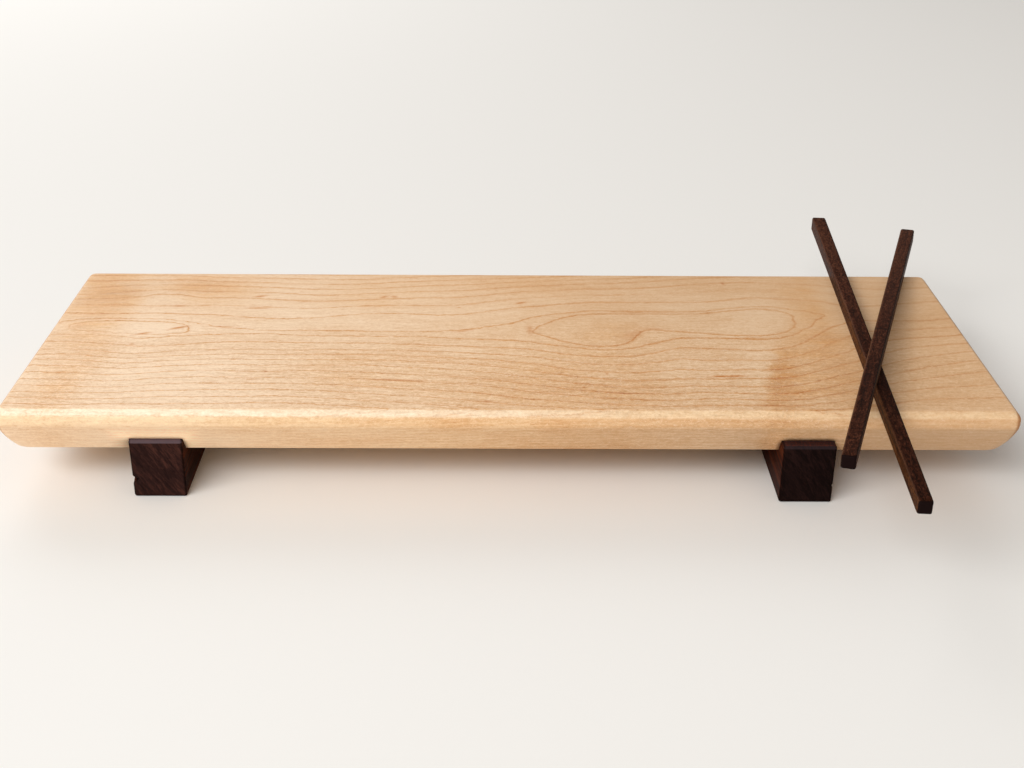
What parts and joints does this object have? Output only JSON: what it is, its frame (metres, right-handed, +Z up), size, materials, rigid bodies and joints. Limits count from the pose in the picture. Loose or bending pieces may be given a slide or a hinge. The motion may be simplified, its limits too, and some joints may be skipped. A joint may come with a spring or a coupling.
{
  "type": "sushi geta board",
  "caption": "Rectangular pale wood serving board with chamfered, undercut edges, raised on dark let-in feet, with square dark chopsticks crossed over one end.",
  "frame": {"origin": "on the table under the middle of the board, in the plane of the feet's undersides", "axes": "+X along the board to the end with the chopsticks, +Y from its front edge to its back edge, +Z up"},
  "size_m": [0.3394, 0.2367, 0.0494],
  "materials": {
    "maple": "satin oiled maple, flat sawn",
    "dark_hardwood": "satin oiled dark brown hardwood",
    "stick_hardwood": "satin oiled dark brown hardwood"
  },
  "bodies": {
    "stand": {"board": "maple", "foot_left": "dark_hardwood", "foot_right": "dark_hardwood"},
    "lower_stick": {"chopstick_lower": "stick_hardwood"},
    "upper_stick": {"chopstick_upper": "stick_hardwood"}
  },
  "joints": [
    {"name": "lower_stick_lift", "type": "slide", "parent": "stand", "child": "lower_stick", "axis": [0, 0, 1], "range_m": [0, 0.06]},
    {"name": "upper_stick_lift", "type": "slide", "parent": "lower_stick", "child": "upper_stick", "axis": [0, 0, 1], "range_m": [0, 0.06]}
  ]
}
